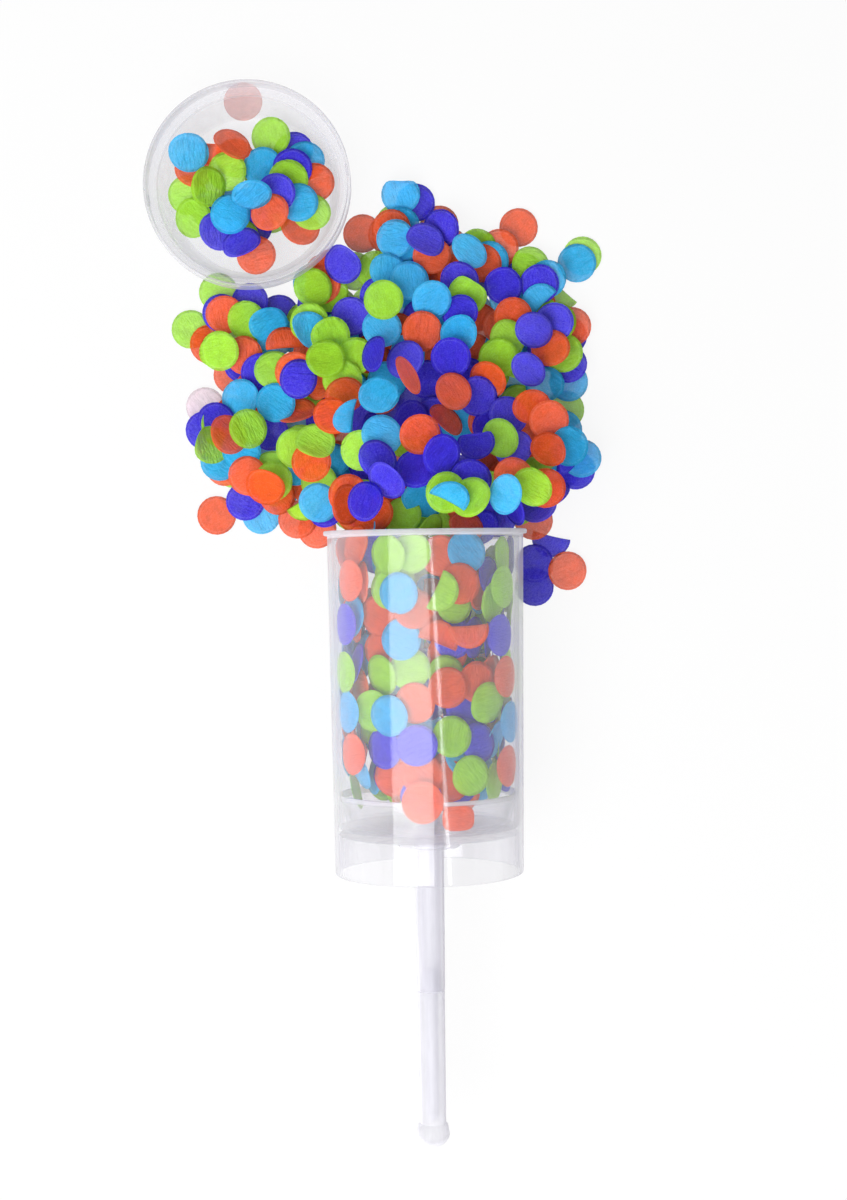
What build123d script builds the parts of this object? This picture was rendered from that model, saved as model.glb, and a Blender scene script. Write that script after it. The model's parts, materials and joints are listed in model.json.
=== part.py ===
from build123d import *
import math
import os
import numpy as np

os.makedirs("parts", exist_ok=True)

# All lengths in millimetres, all angles in degrees. The popper lies on a table at z = 0 with its mouth
# towards +Y and its stick towards -Y. The origin is where the flange round the mouth touches the table.

# Barrel: a tapered tube with an open skirt below its floor. Heights run from the foot edge to the mouth.
barrel_length = 84.0
mouth_diameter = 48.0
rim_overhang = 0.9
rim_thickness = 1.2
foot_diameter = 46.2
barrel_wall = 1.0
floor_height = 9.8
floor_thickness = 1.6
boss_diameter = 15.4
boss_drop = 3.5
edge_round = 0.4

# Piston: a shallow flared cup that rests just off the barrel's floor.
piston_seat_gap = 0.4
piston_height = 7.9
piston_flare = 2.1
piston_wall = 0.8
piston_floor = 1.0
piston_lip_height = 1.2
piston_play = 0.3
socket_wall = 1.85
socket_height = 5.4
socket_roof = 1.0

# Push stick in two halves. The stem's top is pressed into the piston and the stick's spigot into the stem.
stem_top_diameter = 7.2
stem_end_diameter = 6.8
stem_bore_diameter = 4.8
stem_tip_wall = 0.5
stem_show = 29.2
stem_play = 0.25
stick_top_diameter = 6.6
stick_end_diameter = 6.4
stick_bore_diameter = 3.0
stick_show = 67.9
spigot_length = 5.0
press_play = 0.05
knob_diameter = 8.1
knob_height = 6.0
knob_shoulder_share = 0.45

# Cap: a stepped lid that lies on its flat top with its open side up.
cap_centre_x = -43.2
cap_centre_y = 88.0
cap_crown_inset = 1.0
cap_crown_draft = 3.3
cap_crown_height = 11.6
cap_skirt_height = 5.2
cap_wall = 0.8
cap_fit_play = 0.2
cap_corner_round = 1.5
lug_count = 4
lug_width = 3.0
lug_depth = 0.35
lug_height = 0.9
lug_turn = 8.0

# Tissue-paper discs. The thickness stands for one crimped ply, which is bulkier than the sheet.
disc_diameter = 10.0
disc_thickness = 0.12
offcut_chord_share = 0.15
paper_gap = 0.28
settle_stride = 0.15
rim_points = 84
packing_seed = 12
colours = {"O": "orange", "L": "lime", "S": "sky", "V": "violet", "P": "pink"}
mixed_colours = "OLSV"

# Places of the discs that can be seen, in disc diameters across and along from the mouth, the cap's centre
# or the origin. A small letter is a D-shaped offcut. Of two that overlap, the first lies outermost in the
# barrel, and elsewhere the last lies uppermost.
barrel_disc_shares = [
    ("O", -1.85, -0.35), ("L", -1.0, -0.6), ("O", -1.75, -1.25), ("L", -1.0, -1.4), ("L", -0.4, -0.55),
    ("L", -0.95, -1.1), ("S", -1.1, -0.75), ("V", -1.55, -0.55), ("l", 0.3, -1.45), ("O", -0.35, -1.9),
    ("O", -1.4, -2.05), ("O", 0.45, -0.65), ("O", 0.9, -1.3), ("S", 1.15, -0.55), ("O", 1.3, -0.9),
    ("V", 1.4, -0.55), ("O", 1.55, -1.45), ("L", 1.75, -1.75), ("L", 0.87, -1.75), ("o", 1.1, -2.35),
    ("o", 0.3, -2.65), ("V", 1.85, -2.6), ("V", 1.5, -2.6), ("V", 0.87, -2.6), ("L", -1.3, -3.45),
    ("O", -1.35, -2.85), ("V", -1.95, -3.2), ("S", -0.7, -2.6), ("O", 0.55, -3.75), ("O", 1.4, -3.65),
    ("O", 1.85, -3.5), ("L", -0.5, -3.3), ("S", -0.85, -3.6), ("O", -0.35, -4.1), ("L", 1.6, -4.15),
    ("S", -1.0, -4.4), ("L", -1.5, -4.3), ("V", -1.25, -5.2), ("V", -0.3, -5.1), ("L", 0.65, -4.9),
    ("V", 1.45, -5.1), ("S", 1.05, -5.4), ("L", -1.75, -4.65), ("O", -1.85, -4.9), ("S", 2.05, -5.1),
    ("O", 0.7, -5.75), ("L", 1.15, -5.85), ("O", -1.1, -5.85), ("V", -1.35, -5.8), ("O", 1.8, -5.75),
    ("S", -1.9, -5.75), ("O", -0.15, -5.8),
]
cap_disc_shares = [
    ("L", -1.58, -0.1), ("L", -1.08, -1.5), ("O", -1.38, 0.5), ("V", 0.02, -0.4), ("O", 1.27, -0.95),
    ("V", -0.98, -0.5), ("L", -0.28, -1.2), ("V", 1.12, 1), ("S", 1.42, 0.7), ("O", 1.67, 0.1),
    ("L", -1.43, -0.7), ("o", -1.03, 1.1), ("L", 1.57, -0.7), ("V", 0.82, 0.4), ("S", -1.48, 0.9),
    ("L", 0.57, 1.3), ("S", 0.37, 0.5), ("L", -0.53, 0.4), ("O", 0.17, -1.7), ("V", -0.78, -1.1),
    ("L", -1.08, 0), ("V", 1.12, 0.45), ("L", 1.02, 0.15), ("S", 1.27, -0.45), ("v", 1.17, -1.45),
    ("V", -0.13, -1.55), ("S", -0.43, -0.75), ("O", -0.43, 0.9), ("V", 0.72, -0.25), ("O", 0.57, -0.75),
    ("S", 0.12, -0.15),
]
stray_disc_shares = [
    ("L", -5.95, 5.4), ("P", -5.6, 3.4), ("O", -5.35, 0.6), ("O", 2.52, 7.9), ("O", 0.48, 8.0),
    ("L", 4.15, 7.15), ("S", 4.0, 6.95), ("v", 3.25, -0.1), ("V", 2.8, -1.35), ("V", 2.8, -0.75),
    ("O", 3.65, -0.95), ("O", -2.75, 0.2), ("L", -0.65, 8.05), ("V", -0.12, 8.55), ("S", -0.5, 8.75),
    ("L", -4.9, 1.8), ("L", -5.2, 6.3), ("S", -4.2, 0.6), ("V", -4.6, 0.95), ("O", -3.25, 0.45),
    ("L", 3.65, 3.2), ("S", 3.75, 3.9), ("V", 3.75, 5.1), ("l", 3.6, 6.25), ("S", 3.15, 1.4),
    ("O", 2.8, 0.35), ("S", 2.63, 6.75), ("O", -1.5, 7.8),
]
spill_disc_shares = [
    ("V", 0.1, 3.95), ("V", 0.2, 3.0), ("S", -0.3, 4.6), ("V", -0.35, 2.9), ("V", 0.65, 2.6),
    ("S", 0.9, 2.8), ("V", 0.95, 3.9), ("O", 1.6, 2.75), ("V", 1.7, 2.6), ("O", 0.45, 2.7),
    ("S", -0.9, 3.9), ("V", -1.5, 2.6),
    ("O", -5.0, 5.7), ("L", -4.45, 5.5), ("S", -4.0, 6.15), ("S", -3.9, 5.45), ("O", -4.5, 4.6),
    ("L", -5.1, 4.7), ("V", -4.1, 4.15), ("L", -3.75, 4.2), ("S", -4.6, 3.5), ("O", -3.15, 3.0),
    ("S", -3.7, 3.35), ("O", -3.2, 4.1), ("V", -3.1, 3.9), ("o", -3.45, 4.8), ("L", -2.85, 5.4),
    ("S", -2.85, 5.15), ("O", -2.55, 6.4), ("L", -2.75, 6.3), ("V", -1.9, 6.4), ("V", -2.95, 6.15),
    ("V", -1.95, 6.9), ("V", -1.8, 5.55), ("V", -2.55, 5.7), ("L", -2.3, 5.0), ("L", -1.7, 4.45),
    ("L", -2.0, 3.85), ("L", -2.4, 4.35), ("O", -1.95, 3.45), ("V", -5.2, 2.9), ("L", -5.35, 2.3),
    ("S", -4.55, 2.15), ("O", -4.85, 2.5), ("L", -4.35, 2.65), ("O", -4.4, 1.5), ("L", -3.75, 1.35),
    ("O", -3.9, 1.25), ("L", -2.65, 1.35), ("l", -3.05, 0.9), ("S", -2.6, 0.75), ("L", -3.2, 2.15),
    ("O", -2.75, 1.75), ("L", -2.65, 2.2), ("O", -2.2, 2.8), ("s", -1.75, 2.85), ("O", -1.85, 0.95),
    ("L", -1.5, 1.95), ("S", -1.0, 2.3), ("V", -1.1, 1.7), ("V", -0.2, 1.45), ("V", -0.8, 1.25),
    ("O", -2.0, 0.7), ("V", -1.35, 0.65), ("S", -0.5, 7.4), ("S", -0.67, 7.5), ("O", 0.28, 7.05),
    ("V", 0.1, 7.4), ("O", 1.55, 6.9), ("S", 1.22, 7.15), ("V", 3.0, 6.35), ("V", 2.07, 6.3),
    ("s", 3.03, 5.85), ("S", -0.85, 6.6), ("S", -0.3, 6.4), ("S", -1.0, 5.15), ("L", -0.95, 5.85),
    ("V", 0.95, 6.35), ("L", 1.15, 6.0), ("V", 1.0, 5.5), ("S", 0.25, 5.8), ("O", 0.0, 5.05),
    ("S", 0.9, 4.95), ("O", 2.3, 5.5), ("V", 3.35, 5.35), ("L", 2.15, 4.9), ("O", 3.25, 4.65),
    ("V", 2.8, 5.15), ("V", -0.4, 4.3), ("V", -1.0, 4.4), ("V", 0.7, 4.35), ("L", 1.9, 4.4),
    ("O", 1.7, 3.9), ("V", 2.65, 4.15), ("S", -1.05, 3.2), ("O", -0.6, 3.5), ("V", 1.35, 3.4),
    ("O", 0.7, 3.45), ("V", 2.1, 2.9), ("V", 2.2, 2.05), ("O", 2.65, 3.15), ("O", 3.1, 2.75),
    ("S", 3.6, 2.1), ("O", 3.1, 2.0), ("L", 1.9, 2.3), ("V", 1.25, 2.25), ("O", -0.1, 2.3),
    ("V", 0.35, 1.8), ("l", 1.6, 1.5), ("V", 1.1, 1.2), ("O", 2.95, 1.05), ("V", 2.4, 0.7),
    ("O", 2.1, 1.2), ("L", 2.55, 1.0), ("S", 2.0, 0.8), ("L", 0.5, 0.85), ("L", 1.1, 0.7),
    ("s", 0.55, 0.7),
]

# Discs out of sight that carry the ones above: how many, and how far from the mouth the heap is piled.
side_filler_count = 72
barrel_filler_count = 150
mouth_filler_count = 50
cap_filler_count = 6
heap_filler_count = 10
bed_filler_count = 190
heap_reach_share = 2.2
heap_start_share = 0.6667
mouth_reach_least = -0.6
mouth_reach_most = 1.1
side_turn_least = 52.0
side_turn_most = 110.0
side_tilt = 4.0
wall_tilt = 10.0
filler_tilt = 18.0
mouth_tilt = 24.0
heap_tilt = 10.0
cap_tilt = 8.0
bed_tilt = 5.0
place_tries = 6
stray_tilt = 2.0
drop_height = 62.0
stray_height = 9.0
cap_drop_height = 26.0
travel_limit = 62.0

# Radii and heights that follow from the sizes above.
mouth_radius = mouth_diameter / 2
rim_radius = mouth_radius + rim_overhang
foot_radius = foot_diameter / 2
floor_top = floor_height + floor_thickness
stem_hole_radius = stem_top_diameter / 2 + stem_play
piston_base = floor_top + piston_seat_gap
piston_top = piston_base + piston_height
cap_height = cap_crown_height + cap_skirt_height
cap_skirt_inner = rim_radius + cap_fit_play
cap_skirt_outer = cap_skirt_inner + cap_wall
crown_radius = rim_radius - cap_crown_inset
top_radius = crown_radius - cap_crown_draft
cap_crown_slope = cap_crown_draft / cap_crown_height
disc_radius = disc_diameter / 2


def bore_radius(height):
    return foot_radius + (mouth_radius - foot_radius) * height / barrel_length - barrel_wall


def turned(points, rounds):
    """Revolves a closed outline of (radius, height) points, its named corners rounded first."""
    outline = make_face(Polyline(*[(r, 0, h) for r, h in points], close=True)).face()
    for corner, size in rounds:
        spot = Vector(points[corner][0], 0, points[corner][1])
        nearest = min(outline.vertices(), key=lambda v: (Vector(v) - spot).length)
        outline = outline.fillet_2d(size, [nearest])
    return revolve(outline, Axis.Z)


# The barrel tapers, so lying on its flange and its foot edge it is tipped by a small angle.
lie_angle = math.degrees(math.atan2(rim_radius - foot_radius, barrel_length - rim_thickness))
lie_sine = math.sin(math.radians(lie_angle))
lie_cosine = math.cos(math.radians(lie_angle))
flange_back = barrel_length - rim_thickness
foot_y = -rim_radius * lie_sine - flange_back * lie_cosine
foot_z = rim_radius * lie_cosine - flange_back * lie_sine
lying_shift = (0, foot_y, foot_z)
lying = Location(lying_shift, (lie_angle - 90, 0, 0))
lying_matrix = np.array([[1, 0, 0], [0, lie_sine, lie_cosine], [0, -lie_cosine, lie_sine]])

# Barrel, moulded in one: flange, tapered wall, floor with its guide boss, and the open skirt.
barrel_outline = [
    (foot_radius, 0), (mouth_radius, flange_back), (rim_radius, flange_back), (rim_radius, barrel_length),
    (bore_radius(barrel_length), barrel_length), (bore_radius(floor_top), floor_top),
    (stem_hole_radius, floor_top), (stem_hole_radius, floor_height - boss_drop),
    (boss_diameter / 2, floor_height - boss_drop), (boss_diameter / 2, floor_height),
    (bore_radius(floor_height), floor_height), (bore_radius(0), 0),
]
barrel = turned(barrel_outline, [(2, edge_round), (3, edge_round), (8, edge_round), (0, edge_round)])

# Piston: the lip at the top of its flared wall runs close to the bore, the socket takes the stem's tip.
lip_radius = min(bore_radius(piston_base), bore_radius(barrel_length)) - piston_play
lip_base = piston_top - piston_lip_height
cup_radius = foot_radius - barrel_wall - piston_flare
socket_top = piston_base + piston_floor + socket_height
stem_bore = stem_bore_diameter / 2
stem_tip_radius = stem_bore + stem_tip_wall
tip_hole_radius = stem_tip_radius + press_play
socket_radius = tip_hole_radius + socket_wall
tip_hole_top = socket_top - socket_roof
cup_floor = piston_base + piston_floor
cup_inner = cup_radius - piston_wall
lip_inner = lip_radius - piston_wall
cup_slope = (lip_inner - piston_wall / 2 - cup_inner) / (lip_base - cup_floor)
piston_outline = [
    (tip_hole_radius, piston_base), (cup_radius, piston_base), (lip_radius - piston_wall / 2, lip_base),
    (lip_radius, lip_base), (lip_radius, piston_top), (lip_inner, piston_top),
    (lip_inner - piston_wall / 2, lip_base), (cup_inner, cup_floor),
    (socket_radius, cup_floor), (socket_radius, socket_top), (0, socket_top),
    (0, tip_hole_top), (tip_hole_radius, tip_hole_top),
]
piston = turned(piston_outline, [(1, edge_round), (9, edge_round)])

# Stem: a hollow tapered rod. Its narrow tip stands in the socket and its shoulder bears under the piston.
stem_outline = [
    (stem_bore, -stem_show), (stem_end_diameter / 2, -stem_show), (stem_top_diameter / 2, piston_base),
    (stem_tip_radius, piston_base), (stem_tip_radius, tip_hole_top), (stem_bore, tip_hole_top),
]
stem = turned(stem_outline, [])

# Stick: a spigot at its top, a blind bore down its length and a rounded knob at its end.
knob_base = knob_height - stick_show
knob_shoulder = knob_base - knob_height * knob_shoulder_share
stick_wall = (stick_top_diameter - stick_bore_diameter) / 2
spigot_radius = stem_bore - press_play
stick_side = Polyline(
    (0, 0, knob_base), (stick_bore_diameter / 2, 0, knob_base + stick_wall),
    (stick_bore_diameter / 2, 0, spigot_length - stem_show), (spigot_radius, 0, spigot_length - stem_show),
    (spigot_radius, 0, -stem_show), (stick_top_diameter / 2, 0, -stem_show),
    (stick_end_diameter / 2, 0, knob_base),
)
knob_flank = Spline(
    (stick_end_diameter / 2, 0, knob_base), (knob_diameter / 2, 0, knob_shoulder), (0, 0, -stick_show),
    tangents=[(1, 0, -1), (-1, 0, 0)],
)
stick_axis = Line((0, 0, -stick_show), (0, 0, knob_base))
stick = revolve(make_face([*stick_side.edges(), knob_flank, stick_axis]), Axis.Z)

# Cap: flat top, flared crown, shoulder that seats on the flange, skirt round it with snap lugs inside.
shoulder_inside = cap_crown_height + cap_wall
cap_outline = [
    (0, 0), (top_radius, 0), (crown_radius, cap_crown_height), (cap_skirt_outer, cap_crown_height),
    (cap_skirt_outer, cap_height), (cap_skirt_inner, cap_height), (cap_skirt_inner, shoulder_inside),
    (crown_radius - cap_wall, shoulder_inside), (top_radius - cap_wall, cap_wall), (0, cap_wall),
]
cap_rounds = [(1, cap_corner_round), (3, edge_round), (8, cap_corner_round - cap_wall / 2)]
cap = turned(cap_outline, cap_rounds)
lug_rise = shoulder_inside + rim_thickness + cap_fit_play + lug_height / 2
lug_block = Pos(cap_skirt_inner, 0, lug_rise) * Box(2 * lug_depth, lug_width, lug_height)
for number in range(lug_count):
    cap += Rot(0, 0, lug_turn + number * 360 / lug_count) * lug_block
cap_place = Pos(cap_centre_x, cap_centre_y, 0)

# Tissue discs are laid one at a time, each tilted a little by chance, as near to its wall or to the discs
# under it as the paper gap lets it lie.
chance = np.random.default_rng(packing_seed)
rim_turn = np.linspace(0, 2 * math.pi, rim_points, endpoint=False)
laid = {
    "centre": np.empty((0, 3)),
    "normal": np.empty((0, 3)),
    "across": np.empty((0, 3)),
    "reach": np.empty(0),
    "rim": np.empty((0, rim_points, 3)),
}
nodes = {}


def in_barrel(points):
    """Height over the foot edge and distance from the barrel's axis of points in the table's frame."""
    local = (points - np.array(lying_shift)) @ lying_matrix
    return local[:, 2], np.hypot(local[:, 0], local[:, 1])


def from_cap(points):
    return np.hypot(points[:, 0] - cap_centre_x, points[:, 1] - cap_centre_y)


def room_in_barrel(points):
    height, reach = in_barrel(points)
    cup_wall = cup_inner + cup_slope * (height - cup_floor)
    inside = reach < np.where(height > piston_top + paper_gap, bore_radius(height), cup_wall) - paper_gap
    off_socket = (height > socket_top + paper_gap) | (reach > socket_radius + paper_gap)
    off_ends = (height > cup_floor + paper_gap) & (height < barrel_length + disc_radius / 2)
    return np.all(inside & off_socket & off_ends)


def room_in_cap(points):
    height = points[:, 2]
    inside = top_radius - cap_wall + cap_crown_slope * (np.minimum(height, shoulder_inside) - cap_wall)
    return np.all((height > cap_wall + paper_gap) & (from_cap(points) < inside - 2 * paper_gap))


def room_on_table(points):
    height, reach = in_barrel(points)
    off_barrel = (height > barrel_length + paper_gap) | (reach > rim_radius + paper_gap)
    crown_side = top_radius + cap_crown_slope * points[:, 2]
    cap_side = np.where(points[:, 2] < cap_crown_height - paper_gap, crown_side, cap_skirt_outer)
    off_cap = from_cap(points) > cap_side + paper_gap
    return np.all(off_barrel & off_cap & (points[:, 2] > disc_thickness))


def room_at_mouth(points):
    height, reach = in_barrel(points)
    inside = reach < bore_radius(np.minimum(height, barrel_length)) - paper_gap
    past_flange = height > barrel_length + paper_gap
    return np.all((inside | past_flange) & (points[:, 2] > disc_thickness))


def near_paper(centre, normal, across, reach, rim):
    """True where the disc's rim comes too near a laid disc, or a laid disc's rim too near the disc.
    An offcut reaches only to its cut edge on the side that its across direction points to."""
    near = np.linalg.norm(laid["centre"] - centre, axis=1) < disc_diameter + paper_gap
    others = laid["centre"][near]
    if not len(others):
        return False
    limit = (disc_radius + paper_gap) ** 2
    offsets = rim[None] - others[:, None]
    lifts = np.einsum("kni,ki->kn", offsets, laid["normal"][near])
    sideways = np.einsum("kni,ki->kn", offsets, laid["across"][near])
    on_paper = sideways < laid["reach"][near][:, None] + paper_gap
    hit = on_paper & (np.abs(lifts) < paper_gap) & ((offsets ** 2).sum(2) - lifts ** 2 < limit)
    offsets = laid["rim"][near] - centre
    lifts = offsets @ normal
    on_paper = offsets @ across < reach + paper_gap
    struck = on_paper & (np.abs(lifts) < paper_gap) & ((offsets ** 2).sum(2) - lifts ** 2 < limit)
    return bool(hit.any() or struck.any())


def lay(place, letter, start, heading, facing, tilt, room):
    """Lays one disc that faces along facing, give or take the tilt. From a clear start it goes on along the
    heading until it is stopped, from a blocked one until it comes clear. Returns whether it found room."""
    lean = math.tan(math.radians(tilt)) * chance.normal(size=3)
    normal = facing + lean - np.dot(lean, facing) * facing
    normal = normal / np.linalg.norm(normal)
    across = np.cross(normal, chance.normal(size=3))
    across = across / np.linalg.norm(across)
    round_axis = np.cross(normal, across)
    reach = chord if letter.islower() else disc_radius
    ring = np.outer(np.minimum(disc_radius * np.cos(rim_turn), reach), across)
    ring = ring + np.outer(disc_radius * np.sin(rim_turn), round_axis)

    def clear(spot):
        return room(spot + ring) and not near_paper(spot, normal, across, reach, spot + ring)

    path = np.array(start) + np.outer(np.arange(0, travel_limit, settle_stride), heading)
    started_clear = clear(path[0])
    turning = next((step for step, spot in enumerate(path) if clear(spot) != started_clear), None)
    if turning is None:
        return False
    centre = path[turning - 1] if started_clear else path[turning]
    laid["centre"] = np.vstack([laid["centre"], centre])
    laid["normal"] = np.vstack([laid["normal"], normal])
    laid["across"] = np.vstack([laid["across"], across])
    laid["reach"] = np.append(laid["reach"], reach)
    laid["rim"] = np.concatenate([laid["rim"], (centre + ring)[None]])
    disc = offcut_disc if letter.islower() else whole_disc
    spot = Plane(origin=tuple(centre), x_dir=tuple(across), z_dir=tuple(normal))
    nodes.setdefault(f"{place}_{colours[letter.upper()]}", []).append(spot.location * disc)
    return True


whole_disc = Cylinder(disc_radius, disc_thickness)
chord = offcut_chord_share * disc_radius
offcut_disc = whole_disc - Pos(disc_radius + chord, 0, 0) * Box(disc_diameter, disc_diameter, disc_diameter)
down = np.array([0, 0, -1.0])
skyward = np.array([0, 0, 1.0])
axis_way = lying_matrix[:, 2]
axis_foot = np.array(lying_shift)


def lay_in_barrel(letter, along, turn, tilt):
    """Lays a disc with its face to the wall, as near the wall as there is room for it."""
    outward = lying_matrix @ np.array([math.sin(turn), -math.cos(turn), 0])
    start = axis_foot + axis_way * along + outward * mouth_radius
    return lay("barrel_confetti", letter, start, -outward, outward, tilt, room_in_barrel)


def pile_top(place):
    """Height of the paper that lies within a disc's radius of a place on the table."""
    near = np.linalg.norm(laid["centre"][:, :2] - place, axis=1) < disc_radius
    return laid["rim"][near][..., 2].max(initial=0)


def lowest(places):
    """Of some places on the table, the one where the least paper lies."""
    return min(places, key=pile_top)


# Discs in the barrel: first the ones seen through its upper side, then those at its left and right,
# then the rest all round and inwards.
bore_reach = bore_radius(barrel_length / 2)
for letter, across, along in barrel_disc_shares:
    turn = math.asin(max(-1, min(1, across * disc_diameter / bore_reach)))
    lay_in_barrel(letter, barrel_length + along * disc_diameter, turn, wall_tilt)
for number in range(side_filler_count):
    letter = mixed_colours[number % len(mixed_colours)]
    along = chance.uniform(piston_top + disc_radius / 2, barrel_length - disc_radius / 2)
    turn = math.radians(chance.uniform(side_turn_least, side_turn_most))
    lay_in_barrel(letter, along, turn if number % 2 else -turn, side_tilt)
for number in range(barrel_filler_count):
    letter = mixed_colours[number % len(mixed_colours)]
    along = chance.uniform(piston_base + disc_radius, barrel_length)
    tilt = filler_tilt if number % 3 == 0 else wall_tilt
    lay_in_barrel(letter, along, chance.uniform(0, 2 * math.pi), tilt)

# Discs that pour out of the mouth, piled on the barrel's lower side and on the table just in front of it.
for number in range(mouth_filler_count):
    letter = mixed_colours[number % len(mixed_colours)]
    across = chance.uniform(-1, 1, place_tries) * (mouth_radius - disc_radius)
    along = chance.uniform(mouth_reach_least, mouth_reach_most, place_tries) * disc_diameter
    start = (*lowest(np.stack([across, along], axis=1)), 0)
    lay("barrel_confetti", letter, start, skyward, skyward, mouth_tilt, room_at_mouth)

# Discs in the cap: a few fillers, then the ones that can be seen.
for number in range(cap_filler_count):
    letter = mixed_colours[number % len(mixed_colours)]
    spread = chance.uniform(-1, 1, 2) * (top_radius - disc_radius) / math.sqrt(2)
    start = (cap_centre_x + spread[0], cap_centre_y + spread[1], cap_drop_height)
    lay("cap_confetti", letter, start, down, skyward, cap_tilt, room_in_cap)
for letter, across, along in cap_disc_shares:
    start = (cap_centre_x + across * disc_diameter, cap_centre_y + along * disc_diameter, cap_drop_height)
    lay("cap_confetti", letter, start, down, skyward, cap_tilt, room_in_cap)

# Spilled discs: strays flat on the table, fillers from the table up, then the ones that can be seen on top.
for letter, across, along in stray_disc_shares:
    start = (across * disc_diameter, along * disc_diameter, stray_height)
    lay("spilled_confetti", letter, start, down, skyward, stray_tilt, room_on_table)
for number in range(bed_filler_count + heap_filler_count):
    letter = mixed_colours[number % len(mixed_colours)]
    in_heap = number >= bed_filler_count
    seen = np.array([row[1:] for row in spill_disc_shares if not in_heap or row[2] < heap_reach_share])
    spread = chance.uniform(-1, 1, (place_tries, 2)) / 2
    place = lowest((seen[chance.integers(len(seen), size=place_tries)] + spread) * disc_diameter)
    start = (place[0], max(place[1], disc_diameter * heap_start_share), 0)
    tilt = filler_tilt if in_heap else bed_tilt
    lay("spilled_confetti", letter, start, skyward, skyward, tilt, room_on_table)
for letter, across, along in spill_disc_shares:
    start = np.array([across * disc_diameter, along * disc_diameter, drop_height])
    if from_cap(start[None])[0] < cap_skirt_outer + disc_diameter:
        start[2] = stray_height
    below = laid["rim"][np.linalg.norm(laid["centre"][:, :2] - start[:2], axis=1) < disc_diameter]
    support = min(1, below[..., 2].max(initial=0) / disc_diameter)
    lay("spilled_confetti", letter, start, down, skyward, stray_tilt + heap_tilt * support, room_on_table)

for name, solid in {"barrel": barrel, "piston": piston, "stem": stem, "stick": stick}.items():
    export_step(lying * solid, f"parts/{name}.step")
export_step(cap_place * cap, "parts/cap.step")
for name, discs in nodes.items():
    export_step(Compound(children=discs), f"parts/{name}.step")
    print(name, len(discs))
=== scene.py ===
import bmesh
import bpy
import json
import math
import numpy as np
from mathutils import Matrix, Vector


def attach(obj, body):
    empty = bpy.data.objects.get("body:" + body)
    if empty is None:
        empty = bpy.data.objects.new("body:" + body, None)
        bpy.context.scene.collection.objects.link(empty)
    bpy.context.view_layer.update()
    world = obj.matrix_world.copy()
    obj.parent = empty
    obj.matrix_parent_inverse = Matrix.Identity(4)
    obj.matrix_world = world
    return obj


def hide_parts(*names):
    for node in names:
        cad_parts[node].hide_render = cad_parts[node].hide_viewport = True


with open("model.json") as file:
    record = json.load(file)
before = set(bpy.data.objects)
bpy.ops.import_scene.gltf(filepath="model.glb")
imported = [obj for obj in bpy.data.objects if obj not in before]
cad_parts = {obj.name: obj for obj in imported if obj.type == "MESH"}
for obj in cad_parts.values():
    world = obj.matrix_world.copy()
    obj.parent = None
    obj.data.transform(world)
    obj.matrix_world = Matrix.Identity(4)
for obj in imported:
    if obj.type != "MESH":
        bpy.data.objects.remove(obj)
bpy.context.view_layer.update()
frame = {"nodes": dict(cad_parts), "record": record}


# Barrel: the popper's tapered tube, injection-moulded in one from clear polypropylene that is faintly milky.
# A thin flange runs round the mouth, a floor with a guide boss closes it, and an open skirt stands below.
MM = 0.001
BARREL_LENGTH = 84.0
FLANGE_THICKNESS = 1.2
FLANGE_RADIUS = 24.9
MOUTH_RADIUS = 24.0
FOOT_RADIUS = 23.1
BARREL_WALL = 1.0
FLOOR_HEIGHT = 9.8
FLOOR_TOP = 11.4
BOSS_RADIUS = 7.7
BOSS_FOOT = 6.3
GUIDE_RADIUS = 3.85
FOOT_ROUND = 0.35
FLANGE_ROOT_ROUND = 0.25
FLANGE_ROUND = 0.4
EDGE_ROUND = 0.3
GUIDE_ROUND = 0.2
BOSS_ROUND = 0.4
BARREL_FACETS = 144
SHARP_ANGLE = math.radians(32)
PLASTIC_VEIL = (0.93, 0.92, 0.97, 1.0)
# Painted shade: the grey laid on clear walls where they are looked at edge-on.
EDGE_PAINTED_SHADE = (0.50, 0.47, 0.54, 1.0)
FLOW_SCALE = 420.0
GRAIN_SCALE = 900.0
FLOW_RELIEF = 0.10
FLOW_DEPTH = 0.0002
GRAIN_ROUGHNESS = 0.06
MIRROR_FACING = 0.030
MIRROR_SLANTED = 0.34
VEIL_LEAST = 0.55
VEIL_FLOW = 0.9
VEIL_SLANTED = 5.0
BACKLIT_SHARE = 0.25
RIM_BLEND = 0.4


class Made:
    """A node that was added to a tree: its outputs are read by name or number, as values to reckon with."""

    def __init__(self, tree, node):
        self.tree, self.node = tree, node

    def __getitem__(self, key):
        return Value(self.tree, self.node.outputs[key])


class Value:
    """A socket's value. Sums and products of values add Math nodes to the tree."""

    def __init__(self, tree, socket):
        self.tree, self.socket = tree, socket

    def math(self, operation, first, second=0.0):
        return add(self.tree, "ShaderNodeMath", {"operation": operation}, {0: first, 1: second})[0]

    def __add__(self, other):
        return self.math("ADD", self, other)

    def __radd__(self, other):
        return self.math("ADD", other, self)

    def __sub__(self, other):
        return self.math("SUBTRACT", self, other)

    def __rsub__(self, other):
        return self.math("SUBTRACT", other, self)

    def __mul__(self, other):
        return self.math("MULTIPLY", self, other)

    def __rmul__(self, other):
        return self.math("MULTIPLY", other, self)

    def __truediv__(self, other):
        return self.math("DIVIDE", self, other)

    def __pow__(self, other):
        return self.math("POWER", self, other)


def add(tree, kind, settings=None, sockets=None):
    """Adds one node: its settings first, then the values or links of its sockets."""
    node = tree.nodes.new(kind)
    for key, setting in (settings or {}).items():
        setattr(node, key, setting)
    for key, value in (sockets or {}).items():
        if isinstance(value, Value):
            tree.links.new(value.socket, node.inputs[key])
        else:
            node.inputs[key].default_value = value
    return Made(tree, node)


def new_material(name):
    """A material and its tree, which is empty."""
    material = bpy.data.materials.new(name)
    material.use_nodes = True
    material.node_tree.nodes.clear()
    return material, material.node_tree


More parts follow.
